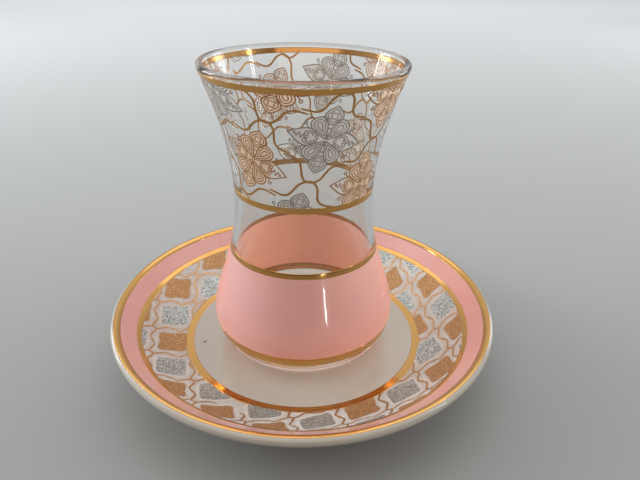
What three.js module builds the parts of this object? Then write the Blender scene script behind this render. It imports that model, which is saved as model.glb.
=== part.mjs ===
// Waisted Turkish tea glass standing on its saucer, both turned about the vertical axis.
// Millimetres, +Z up. Origin: centre of the saucer's foot ring, on the surface it stands on.
import * as THREE from "three";

const SEGMENTS = 60;

// Saucer: overall sizes
const SAUCER_RADIUS = 56;
const WELL_HEIGHT = 5.5; // flat well, on which the glass stands
const WELL_RADIUS = 33.5;
const BRIM_RISE = 12.05; // from the well to the top of the lip
const BODY_THICKNESS = 3.4;

// Saucer: lip and sloping wall
const LIP_THICKNESS = 2.6;
const LIP_ANGLE = THREE.MathUtils.degToRad(43); // slope of the wall where the lip rounds over
const WALL_STEPS = 9;
const LIP_STEPS = 6;

// Saucer: foot ring
const FOOT_OUTER_RADIUS = 33;
const FOOT_INNER_RADIUS = 30.4;
const FOOT_FLARE = 1.1; // how much wider the ring is where it meets the body
const FOOT_CHAMFER = 0.5;

// Glass: outer radius at heights above its resting plane
const HEEL = { height: 0.8, radius: 20.9 };
const GLASS_STATIONS = [
  HEEL,
  { height: 3.3, radius: 23.8 },
  { height: 7, radius: 25.7 },
  { height: 12, radius: 26.3 }, // belly
  { height: 20, radius: 24.4 },
  { height: 31, radius: 20.95 },
  { height: 44, radius: 18.98 }, // waist
  { height: 57, radius: 19.6 },
  { height: 70, radius: 22.5 },
  { height: 81.14, radius: 26.42 }, // centre of the rim bead
];
const WALL_THICKNESS = 1.8;
const GLASS_STEPS = 20; // along the outer wall

// Glass: thick base with a shallow hollow beneath
const FLOOR_HEIGHT = 7;
const FLOOR_CORNER_RADIUS = 6;
const CORNER_STEPS = 4;
const BASE_FLAT_OUTER_RADIUS = 20.1;
const BASE_FLAT_INNER_RADIUS = 16.5;
const BASE_HOLLOW_RADIUS = 13;
const BASE_HOLLOW_DEPTH = 0.7;
const RIM_STEPS = 6;

// Radius as a smooth function of height: the natural cubic spline through the stations.
function smoothProfile(stations) {
  const count = stations.length;
  const slope = (i) =>
    (stations[i + 1].radius - stations[i].radius) /
    (stations[i + 1].height - stations[i].height);
  const bend = new Array(count).fill(0);
  const carry = new Array(count).fill(0);
  for (let i = 1; i < count - 1; i++) {
    const before = stations[i].height - stations[i - 1].height;
    const after = stations[i + 1].height - stations[i].height;
    const pivot = 2 * (before + after) - before * carry[i - 1];
    carry[i] = after / pivot;
    bend[i] = (6 * (slope(i) - slope(i - 1)) - before * bend[i - 1]) / pivot;
  }
  for (let i = count - 2; i > 0; i--) {
    bend[i] -= carry[i] * bend[i + 1];
  }
  return (height) => {
    const above = stations.findIndex((s) => s.height >= height);
    const i = Math.max(above, 1) - 1;
    const low = stations[i];
    const high = stations[i + 1];
    const span = high.height - low.height;
    const a = (high.height - height) / span;
    const b = (height - low.height) / span;
    const curve = (a ** 3 - a) * bend[i] + (b ** 3 - b) * bend[i + 1];
    return a * low.radius + b * high.radius + (curve * span ** 2) / 6;
  };
}

// Points on a circle about (radius, height), from one angle to another, both ends included.
function arc(radius, height, size, from, to, steps) {
  return Array.from({ length: steps + 1 }, (_, i) => {
    const angle = from + ((to - from) * i) / steps;
    return new THREE.Vector2(
      radius + size * Math.cos(angle),
      height + size * Math.sin(angle),
    );
  });
}

function glassProfile() {
  const outer = smoothProfile(GLASS_STATIONS);
  const rim = GLASS_STATIONS.at(-1);
  const bead = WALL_THICKNESS / 2;
  const wall = Array.from({ length: GLASS_STEPS }, (_, i) => {
    const height =
      HEEL.height + ((rim.height - HEEL.height) * i) / GLASS_STEPS;
    return new THREE.Vector2(outer(height), height);
  });
  const cornerTop = FLOOR_HEIGHT + FLOOR_CORNER_RADIUS;
  const inside = wall
    .filter((point) => point.y > cornerTop + 1)
    .reverse()
    .map((point) => new THREE.Vector2(point.x - WALL_THICKNESS, point.y));
  const cornerRadius = outer(cornerTop) - WALL_THICKNESS - FLOOR_CORNER_RADIUS;
  return [
    new THREE.Vector2(0, BASE_HOLLOW_DEPTH),
    new THREE.Vector2(BASE_HOLLOW_RADIUS, BASE_HOLLOW_DEPTH),
    new THREE.Vector2(BASE_FLAT_INNER_RADIUS, 0),
    new THREE.Vector2(BASE_FLAT_OUTER_RADIUS, 0),
    ...wall,
    ...arc(rim.radius - bead, rim.height, bead, 0, Math.PI, RIM_STEPS),
    ...inside,
    ...arc(
      cornerRadius,
      cornerTop,
      FLOOR_CORNER_RADIUS,
      0,
      -Math.PI / 2,
      CORNER_STEPS,
    ),
    new THREE.Vector2(0, FLOOR_HEIGHT),
  ];
}

// The brim rises from the flat well as a power curve, which meets the lip at its own slope.
function brimCurve() {
  const lip = LIP_THICKNESS / 2;
  const run = SAUCER_RADIUS - lip * (1 + Math.sin(LIP_ANGLE)) - WELL_RADIUS;
  const rise = BRIM_RISE - lip * (1 - Math.cos(LIP_ANGLE));
  const power = (Math.tan(LIP_ANGLE) * run) / rise;
  return (part) => ({
    point: new THREE.Vector2(
      WELL_RADIUS + run * part,
      WELL_HEIGHT + rise * part ** power,
    ),
    angle: Math.atan(((power * rise) / run) * part ** (power - 1)),
  });
}

function saucerProfile() {
  const brim = brimCurve();
  const parts = Array.from({ length: WALL_STEPS }, (_, i) => i / WALL_STEPS);
  const upper = parts.map((part) => brim(part).point);
  const underside = parts
    .filter((part) => part > 0.15)
    .map((part) => {
      const { point, angle } = brim(part);
      const thickness = THREE.MathUtils.lerp(
        BODY_THICKNESS,
        LIP_THICKNESS,
        part,
      );
      return new THREE.Vector2(
        point.x + thickness * Math.sin(angle),
        point.y - thickness * Math.cos(angle),
      );
    });
  const end = brim(1);
  const lip = LIP_THICKNESS / 2;
  const lipArc = arc(
    end.point.x + lip * Math.sin(end.angle),
    end.point.y - lip * Math.cos(end.angle),
    lip,
    end.angle + Math.PI / 2,
    end.angle - Math.PI / 2,
    LIP_STEPS,
  );
  const bodyBottom = WELL_HEIGHT - BODY_THICKNESS;
  const topDown = [
    new THREE.Vector2(0, WELL_HEIGHT),
    ...upper,
    ...lipArc,
    ...underside.reverse(),
    new THREE.Vector2(FOOT_OUTER_RADIUS + FOOT_FLARE, bodyBottom),
    new THREE.Vector2(FOOT_OUTER_RADIUS, FOOT_CHAMFER),
    new THREE.Vector2(FOOT_OUTER_RADIUS - FOOT_CHAMFER, 0),
    new THREE.Vector2(FOOT_INNER_RADIUS + FOOT_CHAMFER, 0),
    new THREE.Vector2(FOOT_INNER_RADIUS, FOOT_CHAMFER),
    new THREE.Vector2(FOOT_INNER_RADIUS - FOOT_FLARE, bodyBottom),
    new THREE.Vector2(0, bodyBottom),
  ];
  return topDown.reverse();
}

// A turned solid, stood up so that the lathe's axis is +Z.
function turned(name, profile, material) {
  const mesh = new THREE.Mesh(
    new THREE.LatheGeometry(profile, SEGMENTS),
    material,
  );
  mesh.name = name;
  mesh.rotation.x = Math.PI / 2;
  return mesh;
}

const porcelain = new THREE.MeshStandardMaterial({
  color: "#d8cbbd",
  roughness: 0.15,
  metalness: 0,
});
const clearGlass = new THREE.MeshStandardMaterial({
  color: "#dfe6e4",
  roughness: 0.03,
  metalness: 0,
  transparent: true,
  opacity: 0.35,
});

const saucer = turned("saucer", saucerProfile(), porcelain);
const glass = turned("glass", glassProfile(), clearGlass);
glass.position.z = WELL_HEIGHT;

const teaGlass = new THREE.Group();
teaGlass.add(saucer, glass);

export default teaGlass;
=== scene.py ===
import math
import random

import bpy
import numpy as np
from mathutils import Matrix, Vector
from mathutils.geometry import delaunay_2d_cdt


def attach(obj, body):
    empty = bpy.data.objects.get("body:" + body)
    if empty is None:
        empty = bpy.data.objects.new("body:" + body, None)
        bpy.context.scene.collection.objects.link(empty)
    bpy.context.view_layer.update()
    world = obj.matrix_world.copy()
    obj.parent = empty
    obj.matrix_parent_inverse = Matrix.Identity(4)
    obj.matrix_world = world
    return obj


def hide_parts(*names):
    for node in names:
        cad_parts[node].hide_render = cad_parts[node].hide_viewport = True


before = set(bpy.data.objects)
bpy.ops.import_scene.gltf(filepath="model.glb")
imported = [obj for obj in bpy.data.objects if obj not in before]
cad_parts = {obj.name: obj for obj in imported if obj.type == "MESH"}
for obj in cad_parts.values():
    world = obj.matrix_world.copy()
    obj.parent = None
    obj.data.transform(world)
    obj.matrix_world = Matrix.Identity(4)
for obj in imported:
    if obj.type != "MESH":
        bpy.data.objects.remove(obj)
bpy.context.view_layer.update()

# Sizes are millimetres, except where a heading says metres.
# Angles on the turned shapes run from the camera's side, -Y, to +X.
MM = 0.001
TURN = 2 * math.pi

# Saucer, the same sizes as its solid
SAUCER_RADIUS = 56.0
WELL_HEIGHT = 5.5
WELL_RADIUS = 33.5
BRIM_RISE = 12.05
BODY_THICKNESS = 3.4
LIP_THICKNESS = 2.6
LIP_ANGLE = math.radians(43)
FOOT_OUTER_RADIUS = 33.0
FOOT_INNER_RADIUS = 30.4
FOOT_FLARE = 1.1
FOOT_CHAMFER = 0.5
FOOT_CURVE = ((0.45, 0.72), (0.12, 0.4))  # shares of its flare and height
CHAMFER_BULGE = 0.3
FOOT_DIP = 0.02  # how far below the body's underside the foot's outer side starts
UNDERSIDE_START = 0.14  # share of the brim, beyond the foot, where its underside starts

# Glass, the same sizes as its solid: outer radius at heights above its resting plane
HEEL_HEIGHT = 0.8
GLASS_HEIGHTS = [HEEL_HEIGHT, 3.3, 7, 12, 20, 31, 44, 57, 70, 81.14]
GLASS_RADII = [20.9, 23.8, 25.7, 26.3, 24.4, 20.95, 18.98, 19.6, 22.5, 26.42]
WALL_THICKNESS = 1.8
FLOOR_HEIGHT = 7.0
FLOOR_CORNER_RADIUS = 6.0
BASE_FLAT_OUTER_RADIUS = 20.1
BASE_FLAT_INNER_RADIUS = 16.5
BASE_HOLLOW_RADIUS = 13.0
BASE_HOLLOW_DEPTH = 0.7
INNER_WALL_START = 0.3  # how far above the floor's corner the inner wall begins
STANDING_GAP = 0.02  # keeps the glass's base just clear of the well
PROFILE_ENDS = (GLASS_HEIGHTS[0], GLASS_HEIGHTS[-1])

# Painted bands on the glass, as heights of their lower and upper edges
TOP_GOLD = (79.05, 80.5)
NECK_GOLD = (48.6, 50.2)
SHOULDER_GOLD = (31.0, 32.5)
PINK_ENAMEL = (9.4, 31.1)
BASE_GOLD = (6.9, 9.5)

# Painted rings on the saucer, as radii of their inner and outer edges
OUTER_GOLD = (53.2, 55.1)
PINK_RING = (49.2, 53.25)
MIDDLE_GOLD = (47.9, 49.25)
INNER_GOLD = (33.7, 36.0)
PRINT_GROUND = (35.9, 48.0)

# Enamel thickness: how far a print reaches into and out of the surface that carries it
SINK = 0.02
PAINT = 0.035
GOLD_LIFT = 0.06
GROUND_LIFT = 0.0105
SURROUND_LIFT = 0.0175

# Layers of a flower on the glass, each as how far it reaches out of the wall and into it
FLOWER_BACK = (-0.005, 0.015)
FLOWER_WASH = (0.014, 0.005)
FLOWER_LINES = (PAINT, SINK)

# Edges of a painted band: how far they wander, in which waves to a turn, and how they round off
EDGE_WANDER = 0.04
WANDER_WAVES = (2, 3, 5, 9, 14)
WANDER_FADE = 0.7
EDGE_LIFT = 0.35
EDGE_RISE = 3

# How finely the turned shapes are divided, round the axis and along the profile
GLASS_SEGMENTS = 192
SAUCER_SEGMENTS = 256
BAND_SEGMENTS = 240
GLASS_WALL_STEPS = 149
GLASS_RIM_STEPS = 20
HEEL_STEPS = 6
FLOOR_CORNER_STEPS = 24
WELL_STEPS = 39
BRIM_STEPS = 160
LIP_STEPS = 40
UNDERSIDE_STEPS = 79
LIP_UNDERSIDE_STEPS = 12

# Radii of the rings that divide flat discs
HOLLOW_RINGS = (4, 8)
FLOOR_RINGS = (12, 6)
BOTTOM_RINGS = (22, 14, 7)


# Curves
class Spline:
    """Natural cubic spline through the knots, straight beyond its ends."""

    def __init__(self, xs, ys):
        self.x = np.asarray(xs, float)
        self.y = np.asarray(ys, float)
        n = len(self.x)
        h = np.diff(self.x)
        slope = np.diff(self.y) / h
        system = np.eye(n)
        right = np.zeros(n)
        for i in range(1, n - 1):
            system[i, i - 1 : i + 2] = h[i - 1], 2 * (h[i - 1] + h[i]), h[i]
            right[i] = 6 * (slope[i] - slope[i - 1])
        self.bend = np.linalg.solve(system, right)

    def __call__(self, x):
        x = np.asarray(x, float)
        inside = np.clip(x, self.x[0], self.x[-1])
        i = np.clip(np.searchsorted(self.x, inside) - 1, 0, len(self.x) - 2)
        span = self.x[i + 1] - self.x[i]
        a = (self.x[i + 1] - inside) / span
        b = 1 - a
        curve = (a**3 - a) * self.bend[i] + (b**3 - b) * self.bend[i + 1]
        y = a * self.y[i] + b * self.y[i + 1] + curve * span**2 / 6
        return y + (x - inside) * self.slope(inside)

    def slope(self, x):
        i = np.clip(np.searchsorted(self.x, x) - 1, 0, len(self.x) - 2)
        span = self.x[i + 1] - self.x[i]
        a = (self.x[i + 1] - x) / span
        b = 1 - a
        rise = (self.y[i + 1] - self.y[i]) / span
        bend = -(3 * a**2 - 1) * self.bend[i] + (3 * b**2 - 1) * self.bend[i + 1]
        return rise + bend * span / 6


def smooth_through(points, count):
    """Evenly spaced points on a smooth curve through the given ones."""
    p = np.asarray(points, float)
    along = np.concatenate([[0], np.cumsum(np.hypot(*np.diff(p, axis=0).T))])
    at = np.linspace(0, along[-1], count)
    return np.column_stack([Spline(along, p[:, 0])(at), Spline(along, p[:, 1])(at)])


def arc(radius, height, size, start, end, steps):
    """Points on a circle about (radius, height), angles in radians, both ends included."""
    angles = np.linspace(start, end, steps + 1)
    return [(radius + size * math.cos(t), height + size * math.sin(t)) for t in angles]


# The glass's outer surface, with lengths up its slanting wall counted from the print's middle
PRINT_HEIGHT = 66.0
SLANT_HEIGHTS = (30, 96)
SLANT_STEPS = 1320
glass_radius = Spline(GLASS_HEIGHTS, GLASS_RADII)
wall_heights = np.linspace(*SLANT_HEIGHTS, SLANT_STEPS + 1)
wall_steps = np.hypot(np.diff(wall_heights), np.diff(glass_radius(wall_heights)))
wall_slant = np.concatenate([[0], np.cumsum(wall_steps)])
wall_slant -= np.interp(PRINT_HEIGHT, wall_heights, wall_slant)


def glass_place(angle, height, lift):
    """Points on the glass's outer surface, or lift millimetres out of it."""
    slope = glass_radius.slope(np.clip(height, *PROFILE_ENDS))
    tilt = np.hypot(1, slope)
    radius = glass_radius(height) + lift / tilt
    z = WELL_HEIGHT + height - lift * slope / tilt
    return np.column_stack([radius * np.sin(angle), -radius * np.cos(angle), z])


# The saucer's upper surface, from the axis to the lip's outermost point
def brim_curve():
    lip = LIP_THICKNESS / 2
    run = SAUCER_RADIUS - lip * (1 + math.sin(LIP_ANGLE)) - WELL_RADIUS
    rise = BRIM_RISE - lip * (1 - math.cos(LIP_ANGLE))
    power = math.tan(LIP_ANGLE) * run / rise

    def at(part):
        slope = power * rise / run * part ** (power - 1)
        return WELL_RADIUS + run * part, WELL_HEIGHT + rise * part**power, math.atan(slope)

    return at


brim = brim_curve()


def lip_centre():
    radius, height, angle = brim(1)
    half = LIP_THICKNESS / 2
    return radius + half * math.sin(angle), height - half * math.cos(angle)


def saucer_top():
    points = [(r, WELL_HEIGHT) for r in np.linspace(0, WELL_RADIUS, WELL_STEPS + 1)]
    points += [brim(part)[:2] for part in np.linspace(0, 1, BRIM_STEPS + 1)[1:]]
    points += arc(*lip_centre(), LIP_THICKNESS / 2, LIP_ANGLE + math.pi / 2, 0, LIP_STEPS)[1:]
    return np.array(points)


top_curve = saucer_top()
top_run = np.concatenate([[0], np.cumsum(np.hypot(*np.diff(top_curve, axis=0).T))])
top_slope = np.arctan2(*np.gradient(top_curve, axis=0).T[::-1])
SAUCER_PRINT_RADIUS = 43.0


def run_at(radius):
    """Length along the saucer's surface from its axis to a radius."""
    return float(np.interp(radius, top_curve[:, 0], top_run))


def saucer_place(angle, run, lift):
    """Points on the saucer's upper surface, or lift millimetres out of it."""
    slope = np.interp(run, top_run, top_slope)
    radius = np.interp(run, top_run, top_curve[:, 0]) - lift * np.sin(slope)
    height = np.interp(run, top_run, top_curve[:, 1]) + lift * np.cos(slope)
    return np.column_stack([radius * np.sin(angle), -radius * np.cos(angle), height])


# Meshes
def add_mesh(name, points, faces, material, smooth=True, node=None):
    mesh = bpy.data.meshes.new(name)
    mesh.from_pydata((np.asarray(points) * MM).tolist(), [], faces)
    mesh.validate()
    if smooth:
        mesh.shade_smooth()
    else:
        mesh.shade_flat()
    mesh.materials.append(material)
    piece = bpy.data.objects.new(name, mesh)
    bpy.context.scene.collection.objects.link(piece)
    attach(piece, "root")
    if node:
        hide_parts(node)
    return piece


def lathe(name, profile, segments, material, node):
    """A solid turned about +Z from (radius, height) points that start and end on the axis."""
    rows = profile[1:-1]
    points = [(0, 0, profile[0][1])]
    for radius, height in rows:
        for k in range(segments):
            t = TURN * k / segments
            points.append((radius * math.sin(t), -radius * math.cos(t), height))
    points.append((0, 0, profile[-1][1]))
    last = len(points) - 1
    faces = []
    for k in range(segments):
        n = (k + 1) % segments
        faces.append((0, 1 + n, 1 + k))
        for row in range(len(rows) - 1):
            low = 1 + row * segments
            high = low + segments
            faces.append((low + k, low + n, high + n, high + k))
        top = 1 + (len(rows) - 1) * segments
        faces.append((top + k, top + n, last))
    return add_mesh(name, points, faces, material, node=node)


def wander(seed, size):
    """A small smooth offset round a turn, as of a line drawn by hand on a turntable."""
    draw = random.Random(seed)
    waves = [(k, size / k**WANDER_FADE, draw.uniform(0, TURN)) for k in WANDER_WAVES]
    return lambda t: sum(a * math.sin(k * t + phase) for k, a, phase in waves) / 2


def band(name, place, edges, lift, material, seed, rows=12):
    """A closed ring of paint between two heights, or two lengths along the saucer's surface."""
    below = wander(seed, EDGE_WANDER)
    above = wander(seed + 1, EDGE_WANDER)
    count = 2 * (rows + 1)
    part = np.linspace(0, 1, rows + 1)
    swell = lift * np.minimum(1, EDGE_LIFT + EDGE_RISE * np.minimum(part, 1 - part))
    lifts = np.concatenate([swell, np.full(rows + 1, -SINK)])
    rings = []
    faces = []
    for k in range(BAND_SEGMENTS):
        t = TURN * k / BAND_SEGMENTS
        start = edges[0] + below(t)
        end = edges[1] + above(t)
        along = start + (end - start) * part
        rings.append(place(t, np.concatenate([along, along[::-1]]), lifts))
        here = k * count
        there = (k + 1) % BAND_SEGMENTS * count
        for i in range(count):
            j = (i + 1) % count
            faces.append((here + i, there + i, there + j, here + j))
    return add_mesh(name, np.concatenate(rings), faces, material)


# Flat line drawings, joined into one clean outline and laid on a surface
TAPER_POWER = 6
MERGE_DISTANCE = 1e-4


def stroke(points, width, taper=0.0):
    """Quads of a line of the given width through the points, thinner at its ends by taper."""
    p = np.asarray(points, float)
    ahead = np.gradient(p, axis=0)
    ahead /= np.maximum(np.hypot(*ahead.T), 1e-9)[:, None]
    side = np.column_stack([-ahead[:, 1], ahead[:, 0]])
    t = np.linspace(0, 1, len(p))
    half = width / 2 * (1 - taper * np.abs(2 * t - 1) ** TAPER_POWER)[:, None]
    left = p + side * half
    right = p - side * half
    return [[right[i], right[i + 1], left[i + 1], left[i]] for i in range(len(p) - 1)]


def loop_stroke(points, width):
    """Quads of a closed line."""
    p = np.asarray(points, float)
    ahead = np.roll(p, -1, axis=0) - np.roll(p, 1, axis=0)
    ahead /= np.maximum(np.hypot(*ahead.T), 1e-9)[:, None]
    side = np.column_stack([-ahead[:, 1], ahead[:, 0]]) * width / 2
    left = p + side
    right = p - side
    n = len(p)
    return [[right[i], right[(i + 1) % n], left[(i + 1) % n], left[i]] for i in range(n)]


def disc(x, y, radius, sides=10):
    t = np.linspace(0, TURN, sides, endpoint=False)
    return np.column_stack([x + radius * np.cos(t), y + radius * np.sin(t)])


def covered(points, polygons):
    """Which of the points lie in any of the polygons."""
    found = np.zeros(len(points), bool)
    px, py = points.T
    for polygon in polygons:
        x, y = polygon.T
        near = np.flatnonzero(
            ~found & (px > x.min()) & (px < x.max()) & (py > y.min()) & (py < y.max())
        )
        if not len(near):
            continue
        x2 = np.roll(x, -1)
        y2 = np.roll(y, -1)
        qx = px[near, None]
        qy = py[near, None]
        rise = np.where(y2 == y, 1.0, y2 - y)
        crossing = ((y > qy) != (y2 > qy)) & (qx < x + (qy - y) * (x2 - x) / rise)
        found[near] = crossing.sum(axis=1) % 2 == 1
    return found


def joined(polygons, spacing=None):
    """Points and triangles of the union of polygons.

    Where spacing is given, a grid of inner points makes the triangles small enough to bend.
    """
    polygons = [np.asarray(polygon, float) for polygon in polygons]
    points = np.concatenate(polygons)
    edges = []
    start = 0
    for polygon in polygons:
        n = len(polygon)
        edges += [(start + k, start + (k + 1) % n) for k in range(n)]
        start += n
    if spacing:
        low = points.min(axis=0)
        high = points.max(axis=0)
        grid = np.meshgrid(*[np.arange(low[axis], high[axis], spacing) for axis in (0, 1)])
        points = np.concatenate([points, np.column_stack([g.ravel() for g in grid])])
    corners = [Vector(p) for p in points.tolist()]
    out, _, triangles, _, _, _ = delaunay_2d_cdt(corners, edges, [], 0, MERGE_DISTANCE, False)
    out = np.array([tuple(p) for p in out])
    triangles = np.array(triangles)
    inside = covered(out[triangles].mean(axis=1), polygons)
    return out, triangles[inside]


def slab(flat, spot, place, lift, printed, depth=SINK):
    """Points and faces of a thin closed sheet over flat triangles.

    spot takes flat points to an angle and a length up the surface, printed tells which of
    those belong to the print, and place takes them to space. The sheet reaches from depth
    within the surface to lift above it.
    """
    flat_points, triangles = flat
    angle, along = spot(*flat_points.T)
    triangles = triangles[printed(angle[triangles].mean(axis=1), along[triangles].mean(axis=1))]
    used, tops = np.unique(triangles, return_inverse=True)
    tops = tops.reshape(-1, 3)
    count = len(used)
    upper = place(angle[used], along[used], lift)
    lower = place(angle[used], along[used], -depth)
    sides = np.concatenate([tops[:, [0, 1]], tops[:, [1, 2]], tops[:, [2, 0]]])
    there = sides[:, 0] * count + sides[:, 1]
    back = sides[:, 1] * count + sides[:, 0]
    a, b = sides[~np.isin(there, back)].T
    faces = tops.tolist() + (tops[:, ::-1] + count).tolist()
    faces += np.column_stack([b, a, a + count, b + count]).tolist()
    return np.concatenate([upper, lower]), faces


def add_print(name, slabs, material):
    """Several slabs as one piece."""
    points = []
    faces = []
    start = 0
    for some_points, some_faces in slabs:
        points.append(some_points)
        faces += [[i + start for i in face] for face in some_faces]
        start += len(some_points)
    return add_mesh(name, np.concatenate(points), faces, material, smooth=False)


# The flower: a palmette with four round lobes, two buds and two pointed leaves.
# It is drawn about its centre by its upper right quarter, with a zigzag along each leaf.
LINE = 0.3
FINE_LINE = 0.25
NESTED_LINES = (LINE, FINE_LINE, FINE_LINE)  # widths of nested loops, outermost first
LOBE_DIRECTION = math.radians(55)
LOBES = ((0.35, 6.45, 4.2), (1.3, 5.8, 2.75), (2.4, 5.15, 1.2))  # start, reach and width
DROP = (0.9, 3.2, 0.9)
PETAL_FULLNESS = 0.68
PETAL_ROOT = 0.12
BUD_CENTRE = 6.35
BUD_SIZE = 2.1
BUD_RINGS = ((1.0, 0.04), (0.7, 0.09), (0.38, -0.2))  # scale and roundness of nested rings
BUD_TIP_WIDTH = 0.3
LEAF_EDGE = [
    (2.1, 0.0), (2.35, 1.15), (3.4, 2.05), (4.8, 2.3), (6.3, 1.85), (7.7, 0.95), (9.2, -0.05),
]
HEART_EDGE = [
    (2.7, 0.15), (2.75, 0.95), (3.5, 1.55), (4.6, 1.6), (5.3, 1.05), (5.1, 0.45), (4.2, 0.3),
]
HEART_INSIDE = [(3.2, 0.6), (3.5, 1.05), (4.2, 1.2), (4.7, 0.95), (4.3, 0.65)]
ZIGZAG = [
    (4.4, 0.9), (5.5, -0.45), (5.9, 0.65), (6.5, -0.85), (6.95, 0.4), (7.6, -0.6), (7.75, 0.1),
]
CURL_STEM = [(4.3, 2.3), (5.0, 2.6), (5.5, 3.1)]
CURL_CENTRE = (5.75, 3.45)
CURL_SIZE = 0.38
OPEN_LINES = (  # points, width of the line, and steps along it
    (LEAF_EDGE, LINE, 36),
    (HEART_EDGE, FINE_LINE, 26),
    (HEART_INSIDE, FINE_LINE, 16),
    (CURL_STEM, FINE_LINE, 8),
)

# What the flower's wash fills between its lobes, and where it ends in a leaf that is half bare
MIDDLE = [(0, 0), (3.4, 0), (2.6, 3.0), (0, 4.6)]
LEAF_ROOT = (0.3, 0)
HALF_LEAF = 5.6
HALF_LEAF_END = [(5.4, 0.3), (5.1, 0)]
WASH_SPACING = 0.9


def petal(direction, start, reach, width, steps=34):
    """A drop-shaped loop with its point at start and its axis in the given direction."""
    t = np.linspace(0, TURN, steps, endpoint=False)
    out = (1 - np.cos(t)) / 2
    x = start + (reach - start) * out
    y = width * PETAL_FULLNESS * np.sin(t) * (PETAL_ROOT + (1 - PETAL_ROOT) * out)
    c = math.cos(direction)
    s = math.sin(direction)
    return np.column_stack([c * x - s * y, s * x + c * y])


def bud(size, lobes=0.05, tip=0.14, steps=36):
    """A round bud with four slight lobes and a pointed outer end."""
    t = np.linspace(0, TURN, steps, endpoint=False)
    point = tip * np.exp(-(((t - math.pi / 2) / BUD_TIP_WIDTH) ** 2))
    radius = size * (1 + lobes * np.cos(4 * t) + point)
    return np.column_stack([radius * np.cos(t), BUD_CENTRE + radius * np.sin(t)])


def quarter_lines():
    """The lines of the flower's upper right quarter, of which some cross its axes."""
    lines = loop_stroke(petal(math.pi / 2, *DROP), FINE_LINE)
    for lobe, width in zip(LOBES, NESTED_LINES):
        lines += loop_stroke(petal(LOBE_DIRECTION, *lobe), width)
    for (scale, lobes), width in zip(BUD_RINGS, NESTED_LINES):
        lines += loop_stroke(bud(BUD_SIZE * scale, lobes), width)
    for points, width, steps in OPEN_LINES:
        lines += stroke(smooth_through(points, steps), width)
    lines += loop_stroke(disc(*CURL_CENTRE, CURL_SIZE), FINE_LINE)
    return lines


def mirrored(polygons):
    """The polygons in all four quarters."""
    mirrors = [np.array([sx, sy]) for sx in (1, -1) for sy in (1, -1)]
    return [np.asarray(polygon) * mirror for mirror in mirrors for polygon in polygons]


def flower_lines():
    zigzag = np.array(ZIGZAG)
    quads = [quad for ends in zip(zigzag, zigzag[1:]) for quad in stroke(ends, FINE_LINE)]
    return joined(mirrored(quarter_lines()) + quads + [-np.array(quad) for quad in quads])


def flower_wash(whole_leaves):
    """The filled inside of the flower: lobes, buds, and the leaves or only their round ends."""
    lobe = petal(LOBE_DIRECTION, *LOBES[0])
    edge = smooth_through(LEAF_EDGE, 30)
    if not whole_leaves:
        edge = np.concatenate([edge[edge[:, 0] < HALF_LEAF], HALF_LEAF_END])
    leaf = np.concatenate([[LEAF_ROOT], edge])
    return joined(mirrored([lobe, bud(BUD_SIZE), leaf, MIDDLE]), WASH_SPACING)


# The glass's print comes off a flat sheet cut as a fan, and is laid round the wall from its seam.
# On the sheet, net and flowers repeat along two directions, silver and copper by turns.
SHEET_TURN = 0.2253  # radians turned on the sheet for each radian round the glass
SHEET_REACH = 97.33  # from the fan's pivot to the line at the print's own height
SEAM = math.radians(-126)
ACROSS = np.array([17.94, 7.31])
UPWARD = np.array([-10.18, 15.12])
FIRST_KNOT = np.array([1.24, -8.8])
KNOT_TO_FLOWER = np.array([3.75, 10.93])
FLOWER_LEAN = math.radians(-16.4)
NET_LINE = 0.56
NET_STEPS = 64
NET_TAPER = 0.35

# Knots of the net that have a strand or a flower on the glass: counts, lengths up and turns
KNOT_COUNTS = range(-7, 9)
KNOT_LENGTHS = (-36, 26)
KNOT_TURN = 1.3

# The net about one of its knots, with loose ends beside the next knots' strands
RISING = [
    (-6.1, 7.35), (-4.6, 7.1), (-3.2, 6.35), (-2.15, 5.05), (-1.9, 3.6), (-1.7, 1.8),
    (-1.1, 0.4), (-0.1, -0.05), (1.0, -0.15), (2.3, 0.3), (3.4, 1.3), (4.5, 2.6),
    (5.8, 3.45), (7.2, 3.6), (8.5, 3.3), (9.9, 2.8),
]
FALLING = [
    (-9.7, -3.1), (-8.1, -3.5), (-6.6, -3.9), (-5.3, -3.75), (-4.2, -2.8), (-3.1, -1.4),
    (-1.9, -0.35), (-0.7, 0.05), (0.35, 0.1), (1.15, -0.3), (1.75, -1.2), (2.05, -2.5),
    (2.0, -4.5), (2.4, -5.85), (3.5, -6.75), (5.9, -7.5),
]


def net_unit(width, reshape):
    strands = [smooth_through(points, NET_STEPS) @ reshape.T for points in (RISING, FALLING)]
    return joined([quad for strand in strands for quad in stroke(strand, width, NET_TAPER)])


def sheet_spot(centre, lean=0.0):
    """Angle and height on the glass of flat points about a place on the sheet, turned by lean."""
    c = math.cos(lean)
    s = math.sin(lean)

    def spot(x, y):
        across = centre[0] + c * x - s * y
        up = SHEET_REACH + centre[1] + s * x + c * y
        angle = np.arctan2(across, up) / SHEET_TURN
        slant = np.hypot(across, up) - SHEET_REACH
        return angle, np.interp(slant, wall_slant, wall_heights)

    return spot


def in_glass_print(angle, height):
    between_bands = (height > sum(NECK_GOLD) / 2) & (height < sum(TOP_GOLD) / 2)
    return between_bands & (angle > SEAM) & (angle < SEAM + TURN)


def knots():
    """Each knot of the net that has a strand or a flower on the glass, as its counts and place."""
    lowest, highest = KNOT_LENGTHS
    for i in KNOT_COUNTS:
        for j in KNOT_COUNTS:
            knot = FIRST_KNOT + i * ACROSS + j * UPWARD
            slant = np.hypot(knot[0], knot[1] + SHEET_REACH) - SHEET_REACH
            turn = math.atan2(knot[0], knot[1] + SHEET_REACH)
            if lowest < slant < highest and abs(turn) < KNOT_TURN:
                yield i, j, knot


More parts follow.
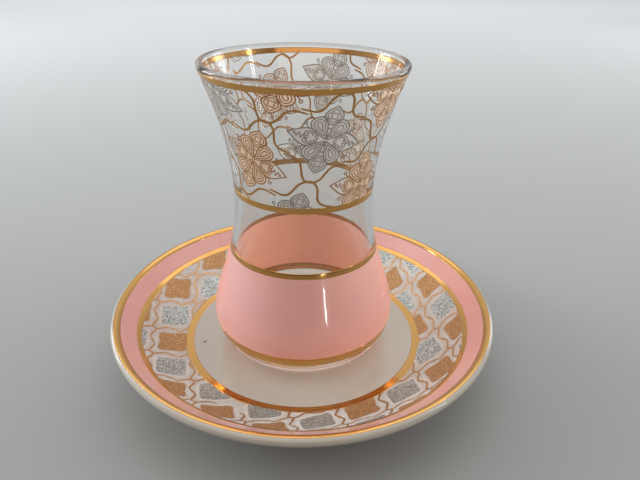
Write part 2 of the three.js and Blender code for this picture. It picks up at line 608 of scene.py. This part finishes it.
def glass_net(material):
    unit = net_unit(NET_LINE, np.eye(2))
    slabs = []
    for _, _, knot in knots():
        slabs.append(slab(unit, sheet_spot(knot), glass_place, PAINT, in_glass_print))
    add_print("glass_net", slabs, material)


def glass_flowers(name, drawing, odd, layer, material):
    """One layer of every other flower: the silver ones, or where odd is 1 the copper ones."""
    lift, depth = layer
    slabs = []
    for i, j, knot in knots():
        if (i + j) % 2 == odd:
            spot = sheet_spot(knot + KNOT_TO_FLOWER, FLOWER_LEAN)
            slabs.append(slab(drawing, spot, glass_place, lift, in_glass_print, depth))
    add_print(name, slabs, material)


# The saucer's print: the same net, and blocks of glitter in place of the flowers.
# It is drawn flat and pressed on the brim.
BLOCK = np.array([3.45, -41.63])
BLOCK_ACROSS = np.array([11.45, 5.59])
BLOCK_UPWARD = np.array([-1.89, 12.41])
BLOCK_SHAPE = np.column_stack([BLOCK_ACROSS, BLOCK_UPWARD])
NET_SHAPE = BLOCK_SHAPE @ np.linalg.inv(np.column_stack([ACROSS, UPWARD]))
SAUCER_NET_LINE = 0.62
KNOT_FROM_BLOCK = np.array([-0.5, -0.5])
BLOCK_COLUMNS = range(-8, 9)
BLOCK_ROWS = range(-4, 12)
BLOCK_RADII = (26, 60)
BLOCK_HALF = 0.345
BLOCK_SPACING = 1.2
RAG_WAVES = (5, 8, 13, 21)
HALO_HALF = 0.44
HALO_LINE = 1.1
HALO_CORNER = np.array([
    (-0.42, 0.2), (-0.43, -0.12), (-0.42, -0.33), (-0.31, -0.42), (-0.1, -0.42), (0.16, -0.4),
])


def brim_spot(centre):
    """Angle and length along the saucer's surface of flat points about a centre."""

    def spot(x, y):
        x = x + centre[0]
        y = y + centre[1]
        beyond = np.hypot(x, y) - SAUCER_PRINT_RADIUS
        return np.arctan2(x, -y), run_at(SAUCER_PRINT_RADIUS) + beyond

    return spot


def in_saucer_print(angle, run):
    return (run > run_at(sum(INNER_GOLD) / 2)) & (run < run_at(sum(MIDDLE_GOLD) / 2))


def blocks(odd=None):
    """Each block of one colour, or of both, as its counts and place."""
    nearest, farthest = BLOCK_RADII
    for i in BLOCK_COLUMNS:
        for j in BLOCK_ROWS:
            centre = BLOCK + i * BLOCK_ACROSS + j * BLOCK_UPWARD
            wanted = odd is None or (i + j) % 2 == odd
            if wanted and nearest < np.hypot(*centre) < farthest:
                yield i, j, centre


def block_outline(seed, size, corner, ripple, horns=0.0, steps=72):
    """A near square in the print's slanting frame, with a ragged edge and drawn-out corners."""
    draw = random.Random(seed)
    phases = [draw.uniform(0, TURN) for _ in RAG_WAVES]
    t = np.linspace(0, TURN, steps, endpoint=False)
    square = (np.abs(np.cos(t)) ** corner + np.abs(np.sin(t)) ** corner) ** (-1 / corner)
    rag = sum(np.sin(k * t + p) / k for k, p in zip(RAG_WAVES, phases))
    radius = size * square * (1 + ripple * rag - horns * np.cos(4 * t))
    return np.column_stack([radius * np.cos(t), radius * np.sin(t)]) @ BLOCK_SHAPE.T


def block_prints(name, drawing_of, odd, lift, material):
    """One piece of all the blocks of one colour, or of their white surrounds."""
    slabs = []
    for i, j, centre in blocks(odd):
        flat = joined(drawing_of(i, j), BLOCK_SPACING)
        slabs.append(slab(flat, brim_spot(centre), saucer_place, lift, in_saucer_print))
    add_print(name, slabs, material)


def silver_block(i, j):
    return [block_outline(31 * i + j, BLOCK_HALF, corner=9, ripple=0.03)]


def copper_block(i, j):
    return [block_outline(17 * i + j + 500, BLOCK_HALF, corner=6, ripple=0.055, horns=0.045)]


def halo(i, j):
    """White enamel all round a silver block, and round two corners of a copper one."""
    if (i + j) % 2 == 0:
        return [block_outline(7 * i + j + 900, HALO_HALF, corner=3.4, ripple=0.012)]
    quads = []
    for side in (1, -1):
        line = smooth_through(HALO_CORNER * side, 24) @ BLOCK_SHAPE.T
        quads += stroke(line, HALO_LINE, taper=0.7)
    return quads


def saucer_net(material):
    unit = net_unit(SAUCER_NET_LINE, NET_SHAPE)
    to_knot = BLOCK_SHAPE @ KNOT_FROM_BLOCK
    slabs = []
    for _, _, centre in blocks():
        spot = brim_spot(centre + to_knot)
        slabs.append(slab(unit, spot, saucer_place, PAINT, in_saucer_print))
    add_print("saucer_net", slabs, material)


# A fleck of dirt on the well, left of the glass
SPECK = (-29.8, -6.5)
SPECK_LENGTH = 1.5
SPECK_WIDTH = 0.5
SPECK_LEAN = math.radians(42)
SPECK_SIDES = 14


def well_spot(x, y):
    return np.arctan2(x, -y), np.hypot(x, y)


def in_well(angle, run):
    return run < WELL_RADIUS


def speck(material):
    blob = disc(0, 0, 0.5, SPECK_SIDES) * (SPECK_LENGTH, SPECK_WIDTH)
    c = math.cos(SPECK_LEAN)
    s = math.sin(SPECK_LEAN)
    flat = joined([blob @ np.array([(c, s), (-s, c)]) + SPECK])
    sheet = slab(flat, well_spot, saucer_place, PAINT, in_well)
    add_print("speck", [sheet], material)


# Materials
def new_material(name, **values):
    """A Principled material with the given socket values, and its node tree and shader."""
    material = bpy.data.materials.new(name)
    material.use_nodes = True
    tree = material.node_tree
    shader = tree.nodes["Principled BSDF"]
    for key, value in values.items():
        shader.inputs[key.replace("_", " ")].default_value = value
    return material, tree, shader


def noise(tree, scale, detail=3.0, roughness=0.55):
    coordinates = tree.nodes.new("ShaderNodeTexCoord")
    texture = tree.nodes.new("ShaderNodeTexNoise")
    texture.inputs["Scale"].default_value = scale
    texture.inputs["Detail"].default_value = detail
    texture.inputs["Roughness"].default_value = roughness
    tree.links.new(coordinates.outputs["Object"], texture.inputs["Vector"])
    return texture.outputs["Fac"]


def remap(tree, source, low, high, start=0.3, end=0.7):
    node = tree.nodes.new("ShaderNodeMapRange")
    node.inputs["From Min"].default_value = start
    node.inputs["From Max"].default_value = end
    node.inputs["To Min"].default_value = low
    node.inputs["To Max"].default_value = high
    tree.links.new(source, node.inputs["Value"])
    return node.outputs["Result"]


def blend_colours(tree, factor, first, second):
    """A mix of two colours, the second where the factor is 1."""
    node = tree.nodes.new("ShaderNodeMix")
    node.data_type = "RGBA"
    tree.links.new(factor, node.inputs["Factor"])
    node.inputs["A"].default_value = (*first, 1)
    node.inputs["B"].default_value = (*second, 1)
    return node.outputs["Result"]


def bump(tree, shader, height, strength, distance):
    node = tree.nodes.new("ShaderNodeBump")
    node.inputs["Strength"].default_value = strength
    node.inputs["Distance"].default_value = distance
    tree.links.new(height, node.inputs["Height"])
    tree.links.new(node.outputs["Normal"], shader.inputs["Normal"])


def uneven_colour(tree, shader, grain, first, second):
    """A base colour that drifts from the first to the second with the grain."""
    patches = remap(tree, grain, 0, 1)
    tree.links.new(blend_colours(tree, patches, first, second), shader.inputs["Base Color"])


def uneven_polish(tree, shader, grain, low, high):
    tree.links.new(remap(tree, grain, low, high), shader.inputs["Roughness"])


def along_axis(tree, kind, axis):
    """One axis of a texture coordinate."""
    coordinates = tree.nodes.new("ShaderNodeTexCoord")
    split = tree.nodes.new("ShaderNodeSeparateXYZ")
    tree.links.new(coordinates.outputs[kind], split.inputs["Vector"])
    return split.outputs[axis]


def let_through(tree, colour, rays):
    """Lets the named kinds of ray straight through the surface, tinted by the colour."""
    surface = tree.nodes["Material Output"].inputs["Surface"]
    paths = tree.nodes.new("ShaderNodeLightPath")
    straight = tree.nodes.new("ShaderNodeBsdfTransparent")
    straight.inputs["Color"].default_value = (*colour, 1)
    for ray in rays:
        mix = tree.nodes.new("ShaderNodeMixShader")
        tree.links.new(paths.outputs[ray], mix.inputs["Fac"])
        tree.links.new(surface.links[0].from_socket, mix.inputs[1])
        tree.links.new(straight.outputs["BSDF"], mix.inputs[2])
        tree.links.new(mix.outputs["Shader"], surface)


def clear_glass():
    """Clear soda-lime glass that lets lamps and sky through, with the ripple of a pressed wall."""
    material, tree, shader = new_material("clear_glass", Roughness=0.0, IOR=1.5)
    shader.inputs["Transmission Weight"].default_value = 1.0
    shader.inputs["Base Color"].default_value = (0.94, 0.93, 0.905, 1)
    bump(tree, shader, noise(tree, 60, 1.0), 0.03, 0.001)
    let_through(tree, (0.96, 0.965, 0.96), ("Is Shadow Ray", "Is Diffuse Ray"))
    return material


def porcelain():
    """Warm white porcelain under a clear glaze."""
    name = "porcelain"
    material, tree, shader = new_material(name, IOR=1.5, Coat_Weight=0.6, Coat_Roughness=0.06)
    uneven_colour(tree, shader, noise(tree, 45, 2.0), (0.455, 0.418, 0.36), (0.485, 0.448, 0.385))
    uneven_polish(tree, shader, noise(tree, 90), 0.16, 0.26)
    bump(tree, shader, noise(tree, 130, 2.0), 0.03, 0.0003)
    return material


def mix_in(tree, shader, other, share):
    """Puts a share of another shader over the first one."""
    mix = tree.nodes.new("ShaderNodeMixShader")
    mix.inputs["Fac"].default_value = share
    tree.links.new(shader.outputs["BSDF"], mix.inputs[1])
    tree.links.new(other.outputs["BSDF"], mix.inputs[2])
    tree.links.new(mix.outputs["Shader"], tree.nodes["Material Output"].inputs["Surface"])


def pink_enamel(name, first, second, glow=0.0):
    """Glossy enamel. On clear glass some light glows through it, warmer than its own colour."""
    material, tree, shader = new_material(name, IOR=1.5, Coat_Weight=0.6, Coat_Roughness=0.04)
    uneven_colour(tree, shader, noise(tree, 60, 3.0), first, second)
    uneven_polish(tree, shader, noise(tree, 150), 0.2, 0.28)
    if glow:
        through = tree.nodes.new("ShaderNodeBsdfTranslucent")
        through.inputs["Color"].default_value = (1.0, 0.60, 0.41, 1)
        mix_in(tree, shader, through, glow)
        let_through(tree, (0.85, 0.63, 0.46), ("Is Shadow Ray",))
    return material


def gold(name, first, second, rough):
    """Smooth fired gold paint, a little uneven in colour and polish."""
    material, tree, shader = new_material(name, Metallic=1.0)
    uneven_colour(tree, shader, noise(tree, 110, 3.0), first, second)
    uneven_polish(tree, shader, noise(tree, 260, 3.0), *rough)
    bump(tree, shader, noise(tree, 350, 2.0), 0.03, 0.0002)
    return material


def glitter(name, dark, light, pattern, rough):
    """Raised glittering print, light where the pattern is high."""
    material, tree, shader = new_material(name, Metallic=0.75)
    height = pattern(tree)
    tree.links.new(blend_colours(tree, height, dark, light), shader.inputs["Base Color"])
    uneven_polish(tree, shader, noise(tree, 2400), *rough)
    bump(tree, shader, height, 0.5, 0.0003)
    return material


def squiggles(tree):
    return remap(tree, noise(tree, 1750, 1.0), 0, 1, 0.4, 0.6)


def flecks(tree):
    return remap(tree, noise(tree, 1900, 4.0, 0.6), 0, 1, 0.4, 0.62)


def plain_print(name, first, second, metallic, rough=(0.3, 0.45)):
    """Thin print in one colour, metallic or not."""
    material, tree, shader = new_material(name, Metallic=metallic)
    uneven_colour(tree, shader, noise(tree, 300, 3.0), first, second)
    uneven_polish(tree, shader, noise(tree, 500), *rough)
    return material


def underlay(name, colour):
    """Light print beneath a flower's lines, which glows with the light from behind it."""
    material, tree, shader = new_material(name, Roughness=0.4)
    darker = [channel * 0.94 for channel in colour]
    uneven_colour(tree, shader, noise(tree, 400, 3.0), darker, colour)
    through = tree.nodes.new("ShaderNodeBsdfTranslucent")
    through.inputs["Color"].default_value = (*colour, 1)
    mix_in(tree, shader, through, 0.6)
    let_through(tree, (0.97, 0.96, 0.95), ("Is Shadow Ray", "Is Diffuse Ray"))
    return material


# Pieces
def glass_profile():
    rim_height = GLASS_HEIGHTS[-1]
    half = WALL_THICKNESS / 2
    corner_top = FLOOR_HEIGHT + FLOOR_CORNER_RADIUS
    corner_radius = float(glass_radius(corner_top)) - WALL_THICKNESS - FLOOR_CORNER_RADIUS
    profile = [(0, BASE_HOLLOW_DEPTH)]
    profile += [(r, BASE_HOLLOW_DEPTH) for r in (*HOLLOW_RINGS, BASE_HOLLOW_RADIUS)]
    slope_mid = (BASE_HOLLOW_RADIUS + BASE_FLAT_INNER_RADIUS) / 2
    flat_mid = (BASE_FLAT_INNER_RADIUS + BASE_FLAT_OUTER_RADIUS) / 2
    profile += [(slope_mid, BASE_HOLLOW_DEPTH / 2)]
    profile += [(r, STANDING_GAP) for r in (BASE_FLAT_INNER_RADIUS, flat_mid)]
    heel_size = HEEL_HEIGHT - STANDING_GAP
    profile += arc(BASE_FLAT_OUTER_RADIUS, HEEL_HEIGHT, heel_size, -math.pi / 2, 0, HEEL_STEPS)
    heights = np.linspace(HEEL_HEIGHT, rim_height, GLASS_WALL_STEPS + 1)[1:]
    profile += [(float(glass_radius(h)), h) for h in heights]
    rim_centre = float(glass_radius(rim_height)) - half
    profile += arc(rim_centre, rim_height, half, 0, math.pi, GLASS_RIM_STEPS)[1:]
    inside = [h for h in heights[::-1][1:] if h > corner_top + INNER_WALL_START]
    profile += [(float(glass_radius(h)) - WALL_THICKNESS, h) for h in inside]
    down = -math.pi / 2
    profile += arc(corner_radius, corner_top, FLOOR_CORNER_RADIUS, 0, down, FLOOR_CORNER_STEPS)
    profile += [(r, FLOOR_HEIGHT) for r in (*FLOOR_RINGS, 0)]
    return [(r, h + WELL_HEIGHT) for r, h in profile]


def saucer_profile():
    underside = []
    for part in np.linspace(0, 1, UNDERSIDE_STEPS + 1)[::-1]:
        if part < UNDERSIDE_START:
            break
        radius, height, angle = brim(part)
        thick = BODY_THICKNESS + (LIP_THICKNESS - BODY_THICKNESS) * part
        underside.append((radius + thick * math.sin(angle), height - thick * math.cos(angle)))
    top = [tuple(p) for p in top_curve[1:]]
    lip_end = LIP_ANGLE - math.pi / 2
    lip = arc(*lip_centre(), LIP_THICKNESS / 2, 0, lip_end, LIP_UNDERSIDE_STEPS)[1:]
    bottom = WELL_HEIGHT - BODY_THICKNESS
    bulge = FOOT_CHAMFER * CHAMFER_BULGE
    side = [(FOOT_FLARE * out, bottom * up) for out, up in FOOT_CURVE]
    side += [(0, FOOT_CHAMFER), (-bulge, bulge), (-FOOT_CHAMFER, 0)]
    foot = [(FOOT_OUTER_RADIUS + FOOT_FLARE, bottom - FOOT_DIP)]
    foot += [(FOOT_OUTER_RADIUS + out, height) for out, height in side]
    foot += [(FOOT_INNER_RADIUS - out, height) for out, height in side[::-1]]
    foot += [(FOOT_INNER_RADIUS - FOOT_FLARE, bottom)]
    flat = [(r, bottom) for r in (*BOTTOM_RINGS, 0)]
    top_down = [(0, WELL_HEIGHT)] + top + lip + underside + foot + flat
    return top_down[::-1]


def glass_bands(gold_paint, pink):
    band("gold_band_top", glass_place, TOP_GOLD, GOLD_LIFT, gold_paint, 11)
    band("gold_band_neck", glass_place, NECK_GOLD, GOLD_LIFT, gold_paint, 21)
    band("gold_band_shoulder", glass_place, SHOULDER_GOLD, GOLD_LIFT, gold_paint, 31)
    band("pink_band", glass_place, PINK_ENAMEL, PAINT, pink, 41, rows=60)
    band("gold_band_base", glass_place, BASE_GOLD, GOLD_LIFT, gold_paint, 51)


def saucer_rings(gold_paint, pink):
    def ring(name, radii, lift, material, seed):
        edges = [run_at(radius) for radius in radii]
        band(name, saucer_place, edges, lift, material, seed, rows=16)

    ring("gold_ring_outer", OUTER_GOLD, GOLD_LIFT, gold_paint, 61)
    ring("pink_ring", PINK_RING, PAINT, pink, 71)
    ring("gold_ring_middle", MIDDLE_GOLD, GOLD_LIFT, gold_paint, 81)
    ring("gold_ring_inner", INNER_GOLD, GOLD_LIFT, gold_paint, 91)


def glass_prints():
    net_gold = plain_print("net_gold", (0.49, 0.26, 0.08), (0.60, 0.34, 0.12), 0.85, (0.28, 0.42))
    copper = plain_print("copper_line", (0.44, 0.20, 0.07), (0.54, 0.27, 0.10), 0.8)
    silver = plain_print("silver_line", (0.31, 0.29, 0.265), (0.41, 0.385, 0.355), 0.75)
    silver_wash = underlay("silver_wash", (0.76, 0.73, 0.69))
    copper_wash = underlay("copper_wash", (0.97, 0.76, 0.58))
    white_back = underlay("white_back", (0.96, 0.96, 0.94))
    glass_net(net_gold)
    lines = flower_lines()
    for colour, odd, wash, line, slot in (
        ("silver", 0, silver_wash, silver, "silver_print"),
        ("copper", 1, copper_wash, copper, "copper_print"),
    ):
        inside = flower_wash(whole_leaves=odd == 0)
        glass_flowers(f"{colour}_flower_back", inside, odd, FLOWER_BACK, white_back)
        glass_flowers(f"{colour}_flower_wash", inside, odd, FLOWER_WASH, wash)
        glass_flowers(f"{colour}_flower_lines", lines, odd, FLOWER_LINES, line)


def saucer_prints():
    copper = plain_print("saucer_net_copper", (0.50, 0.27, 0.12), (0.60, 0.35, 0.17), 0.8)
    white = plain_print("white_enamel", (0.56, 0.53, 0.48), (0.60, 0.57, 0.52), 0.0, (0.2, 0.3))
    dirt = plain_print("dirt", (0.07, 0.04, 0.03), (0.13, 0.09, 0.07), 0.0, (0.6, 0.8))
    silver_glitter = glitter(
        "silver_glitter", (0.30, 0.32, 0.30), (0.62, 0.64, 0.61), squiggles, (0.25, 0.5)
    )
    copper_glitter = glitter(
        "copper_glitter", (0.42, 0.21, 0.08), (0.66, 0.40, 0.20), flecks, (0.3, 0.5)
    )
    ground = plain_print("print_ground", (0.51, 0.465, 0.42), (0.54, 0.495, 0.45), 0.0, (0.2, 0.3))
    edges = [run_at(radius) for radius in PRINT_GROUND]
    band("print_ground", saucer_place, edges, GROUND_LIFT, ground, 101, rows=16)
    saucer_net(copper)
    speck(dirt)
    block_prints("white_surrounds", halo, None, SURROUND_LIFT, white)
    block_prints("silver_blocks", silver_block, 0, PAINT, silver_glitter)
    block_prints("copper_blocks", copper_block, 1, PAINT, copper_glitter)


def build_object():
    gold_paint = gold("gold_paint", (0.68, 0.36, 0.11), (0.74, 0.40, 0.13), (0.09, 0.16))
    pink = pink_enamel("pink_enamel", (0.765, 0.53, 0.56), (0.795, 0.56, 0.59), glow=0.35)
    pink_on_saucer = pink_enamel("pink_glaze", (0.66, 0.32, 0.28), (0.70, 0.35, 0.31))
    lathe("glass_body", glass_profile(), GLASS_SEGMENTS, clear_glass(), "glass")
    lathe("saucer_body", saucer_profile(), SAUCER_SEGMENTS, porcelain(), "saucer")
    glass_bands(gold_paint, pink)
    saucer_rings(gold_paint, pink_on_saucer)
    glass_prints()
    saucer_prints()


# Camera, as fitted to the photograph
CAMERA_PLACE = (0.0, -141.27, 112.31)
CAMERA_DOWN = math.radians(28.04)
CAMERA_HEADING = math.radians(1.905)
CAMERA_ROLL = math.radians(0.99)
FOCAL_PIXELS = 555.2
PHOTO_WIDTH = 640
SENSOR = 36.0

# Floor, lamps and the room around, in metres
FLOOR_HALF = 3.0
FLOOR_PAINTED_SHADE_SPAN = (-0.2, 1.1)  # painted shade: from the floor painted darker before the object, where light falls off, to the paler one beyond
LAMP_TARGET = (0, 0, 0.04)
DAYLIGHT = (0.95, 0.98, 1.0)

# The room's colour goes from behind the camera to beyond the object, its strength from the
# horizon upwards. Both are given for directions, from -1 to 1.
ROOM_BEHIND = (0.31, 0.23, 0.175)
ROOM_BEYOND = (1.0, 1.04, 1.09)
ROOM_DEPTH = (-0.8, 0.4)
ROOM_HEIGHT = (0.0, 0.7)
ROOM_STRENGTH = (0.4, 0.85)


def add_camera():
    data = bpy.data.cameras.new("camera")
    data.sensor_width = SENSOR
    data.lens = FOCAL_PIXELS / PHOTO_WIDTH * SENSOR
    data.clip_start = 0.005
    data.clip_end = 20
    camera = bpy.data.objects.new("camera", data)
    turn = Matrix.Rotation(-CAMERA_HEADING, 4, "Z")
    turn @= Matrix.Rotation(math.pi / 2 - CAMERA_DOWN, 4, "X")
    turn @= Matrix.Rotation(CAMERA_ROLL, 4, "Z")
    camera.matrix_world = Matrix.Translation(Vector(CAMERA_PLACE) * MM) @ turn
    bpy.context.scene.collection.objects.link(camera)
    bpy.context.scene.camera = camera


def add_floor():
    signs = ((-1, -1), (1, -1), (1, 1), (-1, 1))
    corners = [(x * FLOOR_HALF, y * FLOOR_HALF, 0) for x, y in signs]
    mesh = bpy.data.meshes.new("floor")
    mesh.from_pydata(corners, [], [(0, 1, 2, 3)])
    material, tree, shader = new_material("floor", Roughness=0.8)
    # Painted shade: the floor's colour runs from dark near the camera to pale beyond the object,
    # in place of the light's fall-off.
    painted_shade_fade = remap(tree, along_axis(tree, "Object", "Y"), 0, 1, *FLOOR_PAINTED_SHADE_SPAN)
    tint = blend_colours(tree, painted_shade_fade, (0.22, 0.22, 0.21), (0.93, 0.96, 0.97))
    tree.links.new(tint, shader.inputs["Base Color"])
    mesh.materials.append(material)
    floor = bpy.data.objects.new("floor", mesh)
    bpy.context.scene.collection.objects.link(floor)


def add_lamp(name, place, size, power, colour, glints=True, fills=True):
    """An area lamp aimed at the object.

    Without glints it isn't mirrored in gloss or seen through glass, and without fills it
    shows only there.
    """
    data = bpy.data.lights.new(name, "AREA")
    data.shape = "RECTANGLE"
    data.size, data.size_y = size
    data.energy = power
    data.color = colour
    lamp = bpy.data.objects.new(name, data)
    lamp.location = place
    lamp.visible_glossy = glints
    lamp.visible_transmission = glints
    lamp.visible_diffuse = fills
    aim = Vector(LAMP_TARGET) - Vector(place)
    lamp.rotation_euler = aim.to_track_quat("-Z", "Y").to_euler()
    bpy.context.scene.collection.objects.link(lamp)


def add_world():
    """A bright room, dim and warm low behind the camera, bright and cool high up and beyond."""
    world = bpy.data.worlds.new("studio")
    world.use_nodes = True
    tree = world.node_tree
    background = tree.nodes["Background"]
    beyond = remap(tree, along_axis(tree, "Generated", "Y"), 0, 1, *ROOM_DEPTH)
    tint = blend_colours(tree, beyond, ROOM_BEHIND, ROOM_BEYOND)
    tree.links.new(tint, background.inputs["Color"])
    strength = remap(tree, along_axis(tree, "Generated", "Z"), *ROOM_STRENGTH, *ROOM_HEIGHT)
    tree.links.new(strength, background.inputs["Strength"])
    bpy.context.scene.world = world


def add_stage():
    add_camera()
    add_floor()
    add_world()
    add_lamp("ceiling", (0.0, 0.3, 1.3), (2.2, 1.6), 7.2, (0.98, 0.99, 1.0))
    add_lamp("front_fill", (-0.1, -1.05, 0.75), (1.8, 0.55), 2.5, (1.0, 0.84, 0.70))
    add_lamp("left_window", (-0.9, 0.1, 0.3), (0.6, 0.5), 5.2, (0.90, 0.96, 1.0), glints=False)
    add_lamp("right_window", (0.85, 0.0, 0.3), (0.35, 0.5), 1.6, (0.94, 0.97, 1.0), glints=False)
    add_lamp("left_back", (-0.85, 0.45, 0.22), (0.3, 0.3), 1.0, DAYLIGHT)
    add_lamp("right_back", (0.8, 0.55, 0.22), (0.3, 0.3), 0.8, DAYLIGHT)
    add_lamp("left_gap", (-0.895, 0.32, 0.42), (0.025, 0.75), 0.8, DAYLIGHT)
    add_lamp("right_gap", (0.92, -0.264, 0.42), (0.025, 0.75), 0.8, DAYLIGHT)
    add_lamp("spark", (0.55, -1.06, 0.035), (0.03, 0.05), 0.35, (1.0, 1.0, 1.0), fills=False)
    bpy.context.scene.view_settings.view_transform = "Standard"


add_stage()
build_object()
